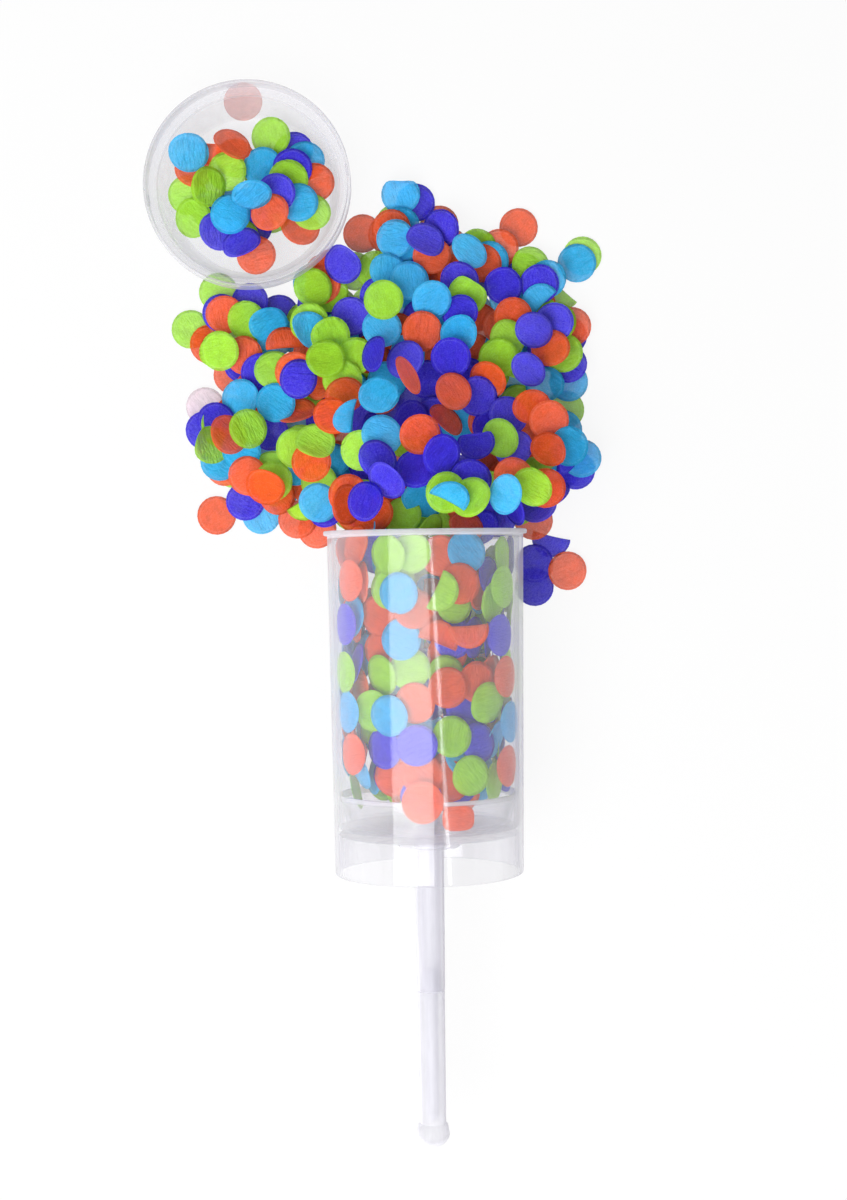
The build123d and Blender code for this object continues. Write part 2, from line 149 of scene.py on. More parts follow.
def clear_plastic(
    name, tint, frost, veil_share, edge_shade_share, flow_stretch, milk_and_highlight_axis="Y", milk_and_highlight_from=0.0, milk_and_highlight_share=0.0,
):
    """Clear moulding: what is behind shows through, the skin mirrors more at a slant, and a milky veil with
    faint flow lines lies over it. A thick rim, from a height on along one axis, is milkier, which on the
    piston's lip is partly a painted highlight. A painted grey shade lies on a wall where it is looked at
    edge-on."""
    material, tree = new_material(name)
    place = add(tree, "ShaderNodeTexCoord")["Object"]
    along_flow = add(tree, "ShaderNodeMapping", {}, {"Vector": place, "Scale": flow_stretch})[0]
    flow = add(tree, "ShaderNodeTexNoise", {}, {"Vector": along_flow, "Scale": FLOW_SCALE, "Detail": 3.0})[0]
    grain = add(tree, "ShaderNodeTexNoise", {}, {"Vector": place, "Scale": GRAIN_SCALE, "Detail": 2.0})[0]
    relief = add(tree, "ShaderNodeBump", {}, {
        "Strength": FLOW_RELIEF, "Distance": FLOW_DEPTH, "Height": flow})[0]
    slant = add(tree, "ShaderNodeLayerWeight", {}, {"Blend": 0.5})["Facing"]
    mirror = MIRROR_FACING + MIRROR_SLANTED * slant ** 5.0
    through = add(tree, "ShaderNodeBsdfTransparent", {}, {"Color": tint})[0]
    skin = add(tree, "ShaderNodeBsdfAnisotropic", {}, {
        "Color": (1.0, 1.0, 1.0, 1.0), "Roughness": frost + GRAIN_ROUGHNESS * grain, "Normal": relief})[0]
    glossy = add(tree, "ShaderNodeMixShader", {}, {0: mirror, 1: through, 2: skin})[0]
    lit = add(tree, "ShaderNodeBsdfDiffuse", {}, {"Color": PLASTIC_VEIL, "Normal": relief})[0]
    backlit = add(tree, "ShaderNodeBsdfTranslucent", {}, {"Color": PLASTIC_VEIL, "Normal": relief})[0]
    milk = add(tree, "ShaderNodeMixShader", {}, {0: BACKLIT_SHARE, 1: lit, 2: backlit})[0]
    # The rim zone is painted milkier; on the piston's lip this is partly a painted highlight.
    rim = add(tree, "ShaderNodeMapRange", {"interpolation_type": "SMOOTHSTEP"}, {
        "Value": add(tree, "ShaderNodeSeparateXYZ", {}, {0: place})[milk_and_highlight_axis], "From Min": milk_and_highlight_from * MM,
        "From Max": (milk_and_highlight_from + RIM_BLEND) * MM, "To Min": 0.0, "To Max": milk_and_highlight_share})[0]
    veil = veil_share * (VEIL_LEAST + VEIL_FLOW * flow) * (1 + VEIL_SLANTED * slant * slant) + rim
    veiled = add(tree, "ShaderNodeMixShader", {}, {0: veil, 1: glossy, 2: milk})[0]
    # Painted shade: a grey diffuse laid over the wall where it is seen edge-on, for the dark edges of clear
    # plastic.
    painted_edge_shade = add(tree, "ShaderNodeBsdfDiffuse", {}, {"Color": EDGE_PAINTED_SHADE})[0]
    whole = add(tree, "ShaderNodeMixShader", {}, {0: edge_shade_share * slant ** 4.0, 1: veiled, 2: painted_edge_shade})[0]
    add(tree, "ShaderNodeOutputMaterial", {}, {"Surface": whole})
    return material


def rounded(corners, steps=5):
    """An outline of (radius, height) points from corners with a rounding each, which may be zero."""
    points = []
    for index, (r, h, size) in enumerate(corners):
        here = Vector((r, h))
        if not size:
            points.append(here)
            continue
        back = (Vector(corners[index - 1][:2]) - here).normalized()
        ahead = (Vector(corners[(index + 1) % len(corners)][:2]) - here).normalized()
        half = back.angle(ahead) / 2
        centre = here + (back + ahead).normalized() * (size / math.sin(half))
        start = here + back * (size / math.tan(half)) - centre
        end = here + ahead * (size / math.tan(half)) - centre
        turn = math.atan2(start.cross(end), start.dot(end))
        points += [centre + Matrix.Rotation(turn * k / steps, 2) @ start for k in range(steps + 1)]
    return points


def turned(name, outline, facets, place, material, body, nodes):
    """Turns an outline round the Z axis, closes it, puts it in its place and lets it ride on its body."""
    form = bmesh.new()
    rings = []
    for r, h in outline:
        if r < 1e-6:
            rings.append([form.verts.new((0, 0, h * MM))] * facets)
            continue
        angles = [2 * math.pi * k / facets for k in range(facets)]
        rings.append([form.verts.new((r * MM * math.cos(a), r * MM * math.sin(a), h * MM)) for a in angles])
    for lower, upper in zip(rings, rings[1:] + rings[:1]):
        for k in range(facets):
            n = (k + 1) % facets
            corners = list(dict.fromkeys((lower[k], lower[n], upper[n], upper[k])))
            if len(corners) > 2:
                form.faces.new(corners)
    form.transform(place)
    bmesh.ops.recalc_face_normals(form, faces=form.faces)
    mesh = bpy.data.meshes.new(name)
    form.to_mesh(mesh)
    form.free()
    mesh.shade_smooth()
    mesh.set_sharp_from_angle(angle=SHARP_ANGLE)
    mesh.materials.append(material)
    piece = bpy.data.objects.new(name, mesh)
    bpy.context.scene.collection.objects.link(piece)
    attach(piece, body)
    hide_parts(*nodes)
    return piece


def bore_at(height):
    return FOOT_RADIUS + (MOUTH_RADIUS - FOOT_RADIUS) * height / BARREL_LENGTH - BARREL_WALL


flange_back = BARREL_LENGTH - FLANGE_THICKNESS
lie_angle = math.atan2(FLANGE_RADIUS - FOOT_RADIUS, flange_back)
lying = Matrix.Translation((
    0,
    -MM * (FLANGE_RADIUS * math.sin(lie_angle) + flange_back * math.cos(lie_angle)),
    MM * (FLANGE_RADIUS * math.cos(lie_angle) - flange_back * math.sin(lie_angle)),
)) @ Matrix.Rotation(lie_angle - math.pi / 2, 4, "X")
barrel_plastic = clear_plastic(
    "barrel_clear_plastic", tint=(0.984, 0.983, 0.990, 1.0), frost=0.05, veil_share=0.075, edge_shade_share=0.04,
    flow_stretch=(1.0, 0.12, 1.0), milk_and_highlight_axis="Y", milk_and_highlight_from=-1.5, milk_and_highlight_share=0.42)
turned("barrel_shell", rounded([
    (FOOT_RADIUS, 0, FOOT_ROUND), (MOUTH_RADIUS, flange_back, FLANGE_ROOT_ROUND),
    (FLANGE_RADIUS, flange_back, FLANGE_ROUND), (FLANGE_RADIUS, BARREL_LENGTH, FLANGE_ROUND),
    (bore_at(BARREL_LENGTH), BARREL_LENGTH, EDGE_ROUND), (bore_at(FLOOR_TOP), FLOOR_TOP, EDGE_ROUND),
    (GUIDE_RADIUS, FLOOR_TOP, GUIDE_ROUND), (GUIDE_RADIUS, BOSS_FOOT, GUIDE_ROUND),
    (BOSS_RADIUS, BOSS_FOOT, BOSS_ROUND), (BOSS_RADIUS, FLOOR_HEIGHT, EDGE_ROUND),
    (bore_at(FLOOR_HEIGHT), FLOOR_HEIGHT, EDGE_ROUND), (bore_at(0), 0, EDGE_ROUND),
]), BARREL_FACETS, lying, barrel_plastic, "barrel", ["barrel"])


# Piston: a shallow flared cup moulded from the same plastic, with a wiping lip round its top and a blind
# socket in its floor. It slides in the barrel and pushes the paper out.
PISTON_BASE = 11.8
PISTON_TOP = 19.7
PISTON_WALL = 0.8
CUP_RADIUS = 20.0
CUP_FLOOR = 12.8
LIP_BASE = 18.5
LIP_CLEARANCE = 0.3
LIP_RADIUS = bore_at(PISTON_BASE) - LIP_CLEARANCE
LIP_ROUND = 0.15
LIP_ROOT_WALLS = 1.5
CUP_ROUND = 0.4
CUP_FLOOR_ROUND = 0.3
SOCKET_ROUND = 0.4
TIP_ROUND = 0.2
SOCKET_RADIUS = 4.8
SOCKET_TOP = 18.2
TIP_HOLE_RADIUS = 2.95
TIP_HOLE_TOP = 17.2
# The milkier zone from the lip up is partly a painted highlight, for the bright arc where the lip catches the
# lamp.
piston_plastic = clear_plastic(
    "piston_clear_plastic", tint=(0.996, 0.996, 0.998, 1.0), frost=0.10, veil_share=0.040, edge_shade_share=0.01,
    flow_stretch=(1.0, 1.0, 1.0), milk_and_highlight_axis="Y", milk_and_highlight_from=-65.2, milk_and_highlight_share=0.55)
turned("piston_cup", rounded([
    (TIP_HOLE_RADIUS, PISTON_BASE, LIP_ROUND), (CUP_RADIUS, PISTON_BASE, CUP_ROUND),
    (LIP_RADIUS - PISTON_WALL / 2, LIP_BASE, 0), (LIP_RADIUS, LIP_BASE, LIP_ROUND),
    (LIP_RADIUS, PISTON_TOP, LIP_ROUND), (LIP_RADIUS - PISTON_WALL, PISTON_TOP, LIP_ROUND),
    (LIP_RADIUS - PISTON_WALL * LIP_ROOT_WALLS, LIP_BASE, 0),
    (CUP_RADIUS - PISTON_WALL, CUP_FLOOR, CUP_FLOOR_ROUND), (SOCKET_RADIUS, CUP_FLOOR, CUP_FLOOR_ROUND),
    (SOCKET_RADIUS, SOCKET_TOP, SOCKET_ROUND), (0, SOCKET_TOP, 0), (0, TIP_HOLE_TOP, 0),
    (TIP_HOLE_RADIUS, TIP_HOLE_TOP, TIP_ROUND),
]), BARREL_FACETS, lying, piston_plastic, "plunger", ["piston"])


# Stem: the hollow upper half of the push stick, moulded in the same plastic a little milkier. Its narrow tip
# is pressed into the piston's socket, and it runs through the guide boss.
STEM_END = -29.2
STEM_TOP_RADIUS = 3.6
STEM_END_RADIUS = 3.4
STEM_BORE = 2.4
STEM_TIP_RADIUS = 2.9
STEM_END_ROUND = 0.25
STEM_BORE_ROUND = 0.1
STICK_FACETS = 64
stick_plastic = clear_plastic(
    "stick_clear_plastic", tint=(0.940, 0.941, 0.952, 1.0), frost=0.40, veil_share=0.34, edge_shade_share=0.01,
    flow_stretch=(1.0, 0.12, 1.0))
turned("stem_tube", rounded([
    (STEM_BORE, STEM_END, TIP_ROUND), (STEM_END_RADIUS, STEM_END, STEM_END_ROUND),
    (STEM_TOP_RADIUS, PISTON_BASE, TIP_ROUND), (STEM_TIP_RADIUS, PISTON_BASE, 0),
    (STEM_TIP_RADIUS, TIP_HOLE_TOP, TIP_ROUND), (STEM_BORE, TIP_HOLE_TOP, STEM_BORE_ROUND),
]), STICK_FACETS, lying, stick_plastic, "plunger", ["stem"])


# Stick: the lower half of the push stick, with a spigot that is pushed into the stem, a blind bore down its
# length and a rounded knob for the thumb, all one moulding.
STICK_END = -67.9
KNOB_BASE = -61.9
KNOB_RADIUS = 4.05
STICK_TOP_RADIUS = 3.3
STICK_END_RADIUS = 3.2
STICK_BORE = 1.5
SPIGOT_TOP = -24.2
SPIGOT_RADIUS = 2.35
SPIGOT_ROUND = 0.3
SPIGOT_BORE_ROUND = 0.15
KNOB_FLARE = 0.45
KNOB_FLARE_DROP = 0.5
KNOB_SHOULDER_SHARE = 0.45
KNOB_STEPS = 12
BORE_CONE = 1.8
knob_shoulder = KNOB_BASE - KNOB_SHOULDER_SHARE * (KNOB_BASE - STICK_END)
knob_points = [(STICK_END_RADIUS, KNOB_BASE), (STICK_END_RADIUS + KNOB_FLARE, KNOB_BASE - KNOB_FLARE_DROP)]
knob_points += [
    (KNOB_RADIUS * math.sin(a), knob_shoulder + (STICK_END - knob_shoulder) * math.cos(a))
    for a in [math.pi / 2 * (1 - k / KNOB_STEPS) for k in range(KNOB_STEPS + 1)]
]
stick_outline = [Vector(p) for p in knob_points] + rounded([
    (0, KNOB_BASE, 0), (STICK_BORE, KNOB_BASE + BORE_CONE, 0), (STICK_BORE, SPIGOT_TOP, SPIGOT_BORE_ROUND),
    (SPIGOT_RADIUS, SPIGOT_TOP, SPIGOT_ROUND), (SPIGOT_RADIUS, STEM_END, 0),
    (STICK_TOP_RADIUS, STEM_END, STEM_END_ROUND), (STICK_END_RADIUS, KNOB_BASE, 0),
])[:-1]
turned("push_stick", stick_outline, STICK_FACETS, lying, stick_plastic, "plunger", ["stick"])


# Cap: a stepped lid of the same plastic that lies on its flat top. Its skirt goes over the barrel's flange,
# and small lugs inside the skirt snap behind the flange.
CAP_CENTRE = Vector((-43.2, 88.0, 0)) * MM
CAP_TOP_RADIUS = 20.6
CAP_CROWN_RADIUS = 23.9
CAP_CROWN_HEIGHT = 11.6
CAP_HEIGHT = 16.8
CAP_WALL = 0.8
SKIRT_INNER = 25.1
SKIRT_OUTER = 25.9
LUG_COUNT = 4
LUG_TURN = math.radians(8.0)
LUG_SIZE = Vector((0.35, 1.5, 0.45))
LUG_HEIGHT = 14.25
LUG_ROUND = 0.12
CAP_TOP_ROUND = 1.5
CAP_FLOOR_ROUND = 1.1
CAP_EDGE_ROUND = 0.3
LEDGE_ROUND = 0.4
LEDGE_INNER_ROUND = 0.25
cap_plastic = clear_plastic(
    "cap_clear_plastic", tint=(0.984, 0.982, 0.990, 1.0), frost=0.30, veil_share=0.065, edge_shade_share=0.01,
    flow_stretch=(1.0, 1.0, 1.0), milk_and_highlight_axis="Z", milk_and_highlight_from=11.3, milk_and_highlight_share=0.16)
shoulder = CAP_CROWN_HEIGHT + CAP_WALL
cap_shell = turned("cap_shell", rounded([
    (0, 0, 0), (CAP_TOP_RADIUS, 0, CAP_TOP_ROUND), (CAP_CROWN_RADIUS, CAP_CROWN_HEIGHT, CAP_EDGE_ROUND),
    (SKIRT_OUTER, CAP_CROWN_HEIGHT, LEDGE_ROUND), (SKIRT_OUTER, CAP_HEIGHT, CAP_EDGE_ROUND),
    (SKIRT_INNER, CAP_HEIGHT, CAP_EDGE_ROUND), (SKIRT_INNER, shoulder, LEDGE_INNER_ROUND),
    (CAP_CROWN_RADIUS - CAP_WALL, shoulder, CAP_EDGE_ROUND),
    (CAP_TOP_RADIUS - CAP_WALL, CAP_WALL, CAP_FLOOR_ROUND), (0, CAP_WALL, 0),
]), BARREL_FACETS, Matrix.Translation(CAP_CENTRE), cap_plastic, "cap", ["cap"])
lugged = bmesh.new()
lugged.from_mesh(cap_shell.data)
for number in range(LUG_COUNT):
    turn = Matrix.Rotation(LUG_TURN + 2 * math.pi * number / LUG_COUNT, 4, "Z")
    stand = Matrix.Translation((SKIRT_INNER * MM, 0, LUG_HEIGHT * MM))
    lug = bmesh.ops.create_cube(lugged, size=2 * MM, matrix=(
        Matrix.Translation(CAP_CENTRE) @ turn @ stand @ Matrix.Diagonal((*LUG_SIZE, 1))))
    lug_edges = list({edge for corner in lug["verts"] for edge in corner.link_edges})
    bmesh.ops.bevel(lugged, geom=lug_edges, offset=LUG_ROUND * MM, segments=2, affect="EDGES", profile=0.5)
lugged.to_mesh(cap_shell.data)
lugged.free()


# Tissue discs: round confetti punched from thin dyed tissue paper, with some D-shaped offcuts that a
# neighbouring hole has bitten into. They lie loose in the barrel, in the cap and in front of the mouth.
DISC_RADIUS = 5.0 * MM
DISC_THICKNESS = 0.08 * MM
BITE_CHORD = 0.15
BITE_DEPTH = 0.05
BITE_GAP = 0.6
TISSUE_COLOURS = {
    "orange": (0.98, 0.115, 0.014, 1.0),
    "lime": (0.42, 0.84, 0.030, 1.0),
    "sky": (0.030, 0.52, 0.95, 1.0),
    "violet": (0.046, 0.026, 0.78, 1.0),
    "pink": (0.98, 0.78, 0.88, 1.0),
}
TISSUE_SHEETS = {"orange": 0.72, "lime": 0.70, "sky": 0.74, "violet": 0.84, "pink": 0.52}
BARE_PAPER = (0.95, 0.95, 0.95, 1.0)
CLOUD_SCALE = 2.6
FIBRE_SCALE = 15.0
WRINKLE_SCALE = 2.2
WRINKLE_STRETCH = (1.0, 3.2, 1.0)
TONE_SPREAD = (37.0, 91.0, 53.0)
RING_REACH = 0.86
RING_WIDTH = 0.07
PAPER_RELIEF = 0.8
PAPER_DEPTH = 0.0005
CRINKLE_HEIGHT = 0.0013
CRINKLE_SCALE = 230.0
CRINKLE_SEED = 4.0
FLAT_CRINKLE = 0.25
FREE_LIFT = 0.012
LIFT_SHARE = 0.85
HEAP_CEILING = 0.053
RESTING_HEIGHT = 0.0015
NEAR_MOUTH = 0.020
SIDE_WALL = 0.75
LEAN_SIDES = 8
MOUTH_LEANS = (25, 45, 60, 75)
OTHER_LEANS = (6, 20, 38, 58)
LEAN_SPREAD = (0.6, 1.15)
CURLS = (0.0008, 0.0016, 0.0028, 0.0042)
CURL_SPREAD = (0.7, 1.1)
FLAT_CURLS = (0.0002, 0.0009)
BEND_STARTS = (-0.3, 0.9)
DOMED_SHARE = 0.2
DOME_HEIGHT = 0.6
SAMPLE_TURNS = np.arange(0, 2 * math.pi, math.pi / 8)
SAMPLE_RING = np.c_[np.cos(SAMPLE_TURNS), np.sin(SAMPLE_TURNS)]
SAMPLE_SPOTS = np.vstack([reach * SAMPLE_RING for reach in (0.05, 0.55, 1.0)])
disc_chance = np.random.default_rng(12)


def tissue(name, colour, cover):
    """Dyed tissue: fibres and clouds in the dye, a pressed ring near the punched edge that is bumped and
    painted lighter as a highlight, fine crinkles.
    """
    material, tree = new_material(name)
    place = add(tree, "ShaderNodeAttribute", {"attribute_name": "disc_place"})["Vector"]
    tone = add(tree, "ShaderNodeAttribute", {"attribute_name": "tone"})["Fac"]
    spread = add(tree, "ShaderNodeVectorMath", {"operation": "MULTIPLY_ADD"}, {
        0: place, 1: (1.0, 1.0, 1.0), 2: add(tree, "ShaderNodeCombineXYZ", {}, {
            axis: tone * shift for axis, shift in enumerate(TONE_SPREAD)})[0]})[0]
    reach = add(tree, "ShaderNodeVectorMath", {"operation": "LENGTH"}, {0: place})["Value"]
    clouds = add(tree, "ShaderNodeTexNoise", {}, {"Vector": spread, "Scale": CLOUD_SCALE, "Detail": 3.0})[0]
    fibres = add(tree, "ShaderNodeTexNoise", {}, {
        "Vector": spread, "Scale": FIBRE_SCALE, "Detail": 3.0, "Roughness": 0.7, "Distortion": 0.8})[0]
    wrinkle = add(tree, "ShaderNodeTexNoise", {}, {
        "Vector": add(tree, "ShaderNodeMapping", {}, {"Vector": spread, "Scale": WRINKLE_STRETCH})[0],
        "Scale": WRINKLE_SCALE, "Detail": 2.0, "Distortion": 0.6})[0]
    ring = add(tree, "ShaderNodeMapRange", {"interpolation_type": "SMOOTHSTEP"}, {
        "Value": add(tree, "ShaderNodeMath", {"operation": "ABSOLUTE"}, {0: reach - RING_REACH})[0],
        "From Min": 0.0, "From Max": RING_WIDTH, "To Min": 1.0, "To Max": 0.0})[0]
    # Painted highlight: the dye is lighter and paler along the pressed ring, where the ring catches light;
    # the ring's relief goes into the bump below.
    light = 0.55 + 0.49 * clouds + 0.60 * fibres + 0.08 * tone + 0.06 * ring
    dyed = add(tree, "ShaderNodeVectorMath", {"operation": "SCALE"}, {0: colour[:3], "Scale": light})[0]
    bare = 0.30 * fibres + 0.04 * tone + 0.05 * ring - 0.12
    dye = add(tree, "ShaderNodeMix", {"data_type": "RGBA", "clamp_factor": True}, {
        0: bare, 6: dyed, 7: BARE_PAPER})[2]
    height = 1.3 * wrinkle + 0.18 * fibres + 0.16 * ring
    relief = add(tree, "ShaderNodeBump", {}, {
        "Strength": PAPER_RELIEF, "Distance": PAPER_DEPTH, "Height": height})[0]
    paper = add(tree, "ShaderNodeBsdfPrincipled", {}, {
        "Base Color": dye, "Roughness": 0.55 + 0.2 * fibres, "Normal": relief, "Alpha": cover,
        "Specular IOR Level": 0.18})[0]
    add(tree, "ShaderNodeOutputMaterial", {}, {"Surface": paper})
    return material


def discs_of(node):
    """Centre, facing and bite direction of each disc of a CAD node. A whole disc has no bite direction."""
    source = node.data
    corners = np.empty(len(source.vertices) * 3)
    source.vertices.foreach_get("co", corners)
    triangles = np.empty(len(source.loops), int)
    source.loops.foreach_get("vertex_index", triangles)
    spots, same = np.unique(np.round(corners.reshape(-1, 3), 6), axis=0, return_inverse=True)
    triangles = same.reshape(-1)[triangles].reshape(-1, 3)
    label = np.arange(len(spots))
    while True:
        least = label[triangles].min(1)
        before = label.copy()
        np.minimum.at(label, triangles.ravel(), np.repeat(least, 3))
        if np.array_equal(label, before):
            break
    found = []
    for one in np.unique(label):
        points = spots[label == one]
        middle = points.mean(0)
        across, over, facing = np.linalg.svd(points - middle)[2]
        flat = (points - middle) @ np.array([across, over]).T
        fit = np.linalg.lstsq(np.c_[2 * flat, np.ones(len(flat))], (flat ** 2).sum(1), rcond=None)[0]
        turns = np.sort(np.arctan2(flat[:, 1] - fit[1], flat[:, 0] - fit[0]))
        gaps = np.diff(np.r_[turns, turns[0] + 2 * math.pi])
        widest = int(gaps.argmax())
        bite = None
        if gaps[widest] > BITE_GAP:
            middle_turn = turns[widest] + gaps[widest] / 2
            bite = across * math.cos(middle_turn) + over * math.sin(middle_turn)
        found.append((middle + fit[0] * across + fit[1] * over, facing, bite))
    return found


def lifts_above(centres, facings, acrosses, overs, ways):
    """How far each sample spot of each disc can lift along the disc's way before it meets another disc."""
    lifts = np.full((len(centres), len(SAMPLE_SPOTS)), FREE_LIFT)
    for index, (centre, way) in enumerate(zip(centres, ways)):
        samples = centre + DISC_RADIUS * SAMPLE_SPOTS @ np.array([acrosses[index], overs[index]])
        near = np.linalg.norm(centres - centre, axis=1) < 5 * DISC_RADIUS
        near[index] = False
        slope = facings[near] @ way
        drop = np.einsum("kni,ki->kn", centres[near][:, None] - samples[None], facings[near])
        lift = drop / np.where(np.abs(slope) < 0.05, np.inf, slope)[:, None]
        meets = samples[None] + lift[..., None] * way - centres[near][:, None]
        hit = (np.linalg.norm(meets, axis=2) < DISC_RADIUS * 1.04) & (lift > 1e-6)
        lifts[index] = np.minimum(lifts[index], np.where(hit, lift, np.inf).min(0, initial=np.inf))
    return lifts


def disc_tree():
    """Geometry nodes that make each point a crinkled tissue disc with a top, an underside and an edge."""
    tree = bpy.data.node_groups.new("tissue_discs", "GeometryNodeTree")
    for name, kind, way in (
        ("Discs", "NodeSocketGeometry", "INPUT"), ("Disc Radius", "NodeSocketFloat", "INPUT"),
        ("Paper Thickness", "NodeSocketFloat", "INPUT"), ("Crinkle Height", "NodeSocketFloat", "INPUT"),
        ("Seed", "NodeSocketFloat", "INPUT"), ("Tissue", "NodeSocketMaterial", "INPUT"),
        ("Discs", "NodeSocketGeometry", "OUTPUT"),
    ):
        tree.interface.new_socket(name, in_out=way, socket_type=kind)
    given = add(tree, "NodeGroupInput")

    def noted(name, kind="FLOAT"):
        return add(tree, "GeometryNodeInputNamedAttribute", {"data_type": kind}, {"Name": name})[0]

    def parts(vector):
        split = add(tree, "ShaderNodeSeparateXYZ", {}, {0: vector})
        return split[0], split[1]

    def root(value):
        return value.math("SQRT", value)

    def along(name, length):
        way = noted(name, "FLOAT_VECTOR")
        return add(tree, "ShaderNodeVectorMath", {"operation": "SCALE"}, {0: way, "Scale": length})[0]

    # A square sheet of small faces is mapped to a round one, and a bitten disc is drawn in on one side.
    sheet = add(tree, "GeometryNodeMeshGrid", {}, {
        "Size X": 2.0, "Size Y": 2.0, "Vertices X": 7, "Vertices Y": 7})[0]
    x, y = parts(add(tree, "GeometryNodeInputPosition")[0])
    round_place = add(tree, "ShaderNodeCombineXYZ", {}, {
        0: x * root(1 - y * y / 2), 1: y * root(1 - x * x / 2)})[0]
    sheet = add(tree, "GeometryNodeSetPosition", {}, {"Geometry": sheet, "Position": round_place})[0]
    sheet = add(tree, "GeometryNodeStoreNamedAttribute", {"data_type": "FLOAT_VECTOR", "domain": "POINT"}, {
        "Geometry": sheet, "Name": "disc_place", "Value": add(tree, "GeometryNodeInputPosition")[0]})[0]
    turn = add(tree, "FunctionNodeAxesToRotation", {"primary_axis": "Z", "secondary_axis": "X"}, {
        0: noted("facing", "FLOAT_VECTOR"), 1: noted("across", "FLOAT_VECTOR")})[0]
    laid = add(tree, "GeometryNodeInstanceOnPoints", {}, {
        "Points": given["Discs"], "Instance": sheet, "Rotation": turn,
        "Scale": 1.0 * given["Disc Radius"]})[0]
    laid = add(tree, "GeometryNodeRealizeInstances", {}, {"Geometry": laid})[0]
    u, v = parts(noted("disc_place", "FLOAT_VECTOR"))
    edge = root((1 - v * v).math("MAXIMUM", 1 - v * v, 0.0004))
    bitten = (BITE_CHORD - BITE_DEPTH * (1 - v * v)) / edge
    kept = bitten.math("MINIMUM", bitten, 1.0)
    pull = noted("bitten") * u.math("GREATER_THAN", u, 0.0) * u * (kept - 1) * given["Disc Radius"]

    # Each disc lifts on one side or domes as far as there is room over it, and all crinkle together, so that
    # discs that lie on one another nest.
    bend_u, bend_v = parts(noted("bend", "FLOAT_VECTOR"))
    reach = u * bend_u + v * bend_v + noted("bend_start")
    lifted = reach.math("MAXIMUM", reach, 0.0) / (1 + noted("bend_start"))
    lift = noted("curl") * lifted * lifted + noted("dome") * (1 - u * u - v * v)
    slope = noted("curl") / given["Disc Radius"]
    drawn_in = slope * slope * lifted * lifted * lifted / (1 + noted("bend_start"))
    draw = -0.6667 * drawn_in * given["Disc Radius"]
    from_edge = (u * bend_u + v * bend_v + 1) * given["Disc Radius"]
    draw = draw + noted("lean_draw") * from_edge
    spot = add(tree, "GeometryNodeInputPosition")[0]
    crinkle = add(tree, "ShaderNodeTexNoise", {"noise_dimensions": "4D"}, {
        "Vector": spot, "W": given["Seed"], "Scale": CRINKLE_SCALE, "Detail": 2.0})[0]
    rise = lift + noted("lean_rise") * from_edge + crinkle * given["Crinkle Height"] * noted("crinkle_share")
    moved = along("across", pull + draw * bend_u)
    for name, length in (("over", draw * bend_v), ("up", rise)):
        moved = add(tree, "ShaderNodeVectorMath", {"operation": "ADD"}, {0: moved, 1: along(name, length)})[0]
    top = add(tree, "GeometryNodeSetPosition", {}, {"Geometry": laid, "Offset": moved})[0]
    thick = add(tree, "GeometryNodeExtrudeMesh", {"mode": "FACES"}, {
        "Mesh": top, "Offset Scale": 1.0 * given["Paper Thickness"], "Individual": False})[0]
    under = add(tree, "GeometryNodeFlipFaces", {}, {"Mesh": top})[0]
    joined = add(tree, "GeometryNodeJoinGeometry")
    tree.links.new(thick.socket, joined.node.inputs[0])
    tree.links.new(under.socket, joined.node.inputs[0])
    closed = add(tree, "GeometryNodeMergeByDistance", {}, {"Geometry": joined[0], "Distance": 0.000001})[0]
    smooth = add(tree, "GeometryNodeSetShadeSmooth", {}, {"Geometry": closed})[0]
    dyed = add(tree, "GeometryNodeSetMaterial", {}, {"Geometry": smooth, "Material": given["Tissue"]})[0]
    add(tree, "NodeGroupOutput", {}, {0: dyed})
    return tree


paper_nodes = sorted(name for name in frame["nodes"] if "_confetti_" in name)
paper = [(name, *disc) for name in paper_nodes for disc in discs_of(frame["nodes"][name])]
centres = np.array([disc[1] for disc in paper])
facings = np.array([disc[2] for disc in paper])
axis_foot = np.array(lying @ Vector((0, 0, 0)))
axis_way = np.array(lying.to_3x3() @ Vector((0, 0, 1)))
from_axis = centres - axis_foot
from_axis = from_axis - np.outer(from_axis @ axis_way, axis_way)
in_barrel = np.array([disc[0].startswith("barrel") for disc in paper])
inward = -from_axis / np.maximum(np.linalg.norm(from_axis, axis=1), 1e-6)[:, None]
faces_wall = in_barrel & (np.abs((facings * inward).sum(1)) > np.abs(facings[:, 2]))
ways = np.where(faces_wall[:, None], inward, (0.0, 0.0, 1.0))
facings = facings * np.where((facings * ways).sum(1) < 0, -1, 1)[:, None]
acrosses = np.array([
    np.cross(facing, disc_chance.normal(size=3)) if bite is None else bite - facing * np.dot(bite, facing)
    for (_, _, _, bite), facing in zip(paper, facings)
])
acrosses /= np.linalg.norm(acrosses, axis=1)[:, None]
overs = np.cross(facings, acrosses)
lifts = lifts_above(centres, facings, acrosses, overs, ways)
lifts = LIFT_SHARE * np.minimum(lifts, np.maximum(HEAP_CEILING - centres[:, 2:], 0))
resting = ~in_barrel & (centres[:, 2] < RESTING_HEIGHT)
tissue_tree = disc_tree()
inputs = {item.name: item.identifier for item in tissue_tree.interface.items_tree if item.in_out == "INPUT"}
tissues = {
    colour: tissue(f"{colour}_tissue_paper", dye, TISSUE_SHEETS[colour])
    for colour, dye in TISSUE_COLOURS.items()
}


def lean_room(room, turn):
    """Sine of the widest lean to one side that the room over a disc leaves it, over 1 if it is free."""
    side = SAMPLE_SPOTS @ (math.cos(turn), math.sin(turn))
    return (room / (DISC_RADIUS * (1 + side) + 1e-5)).min()


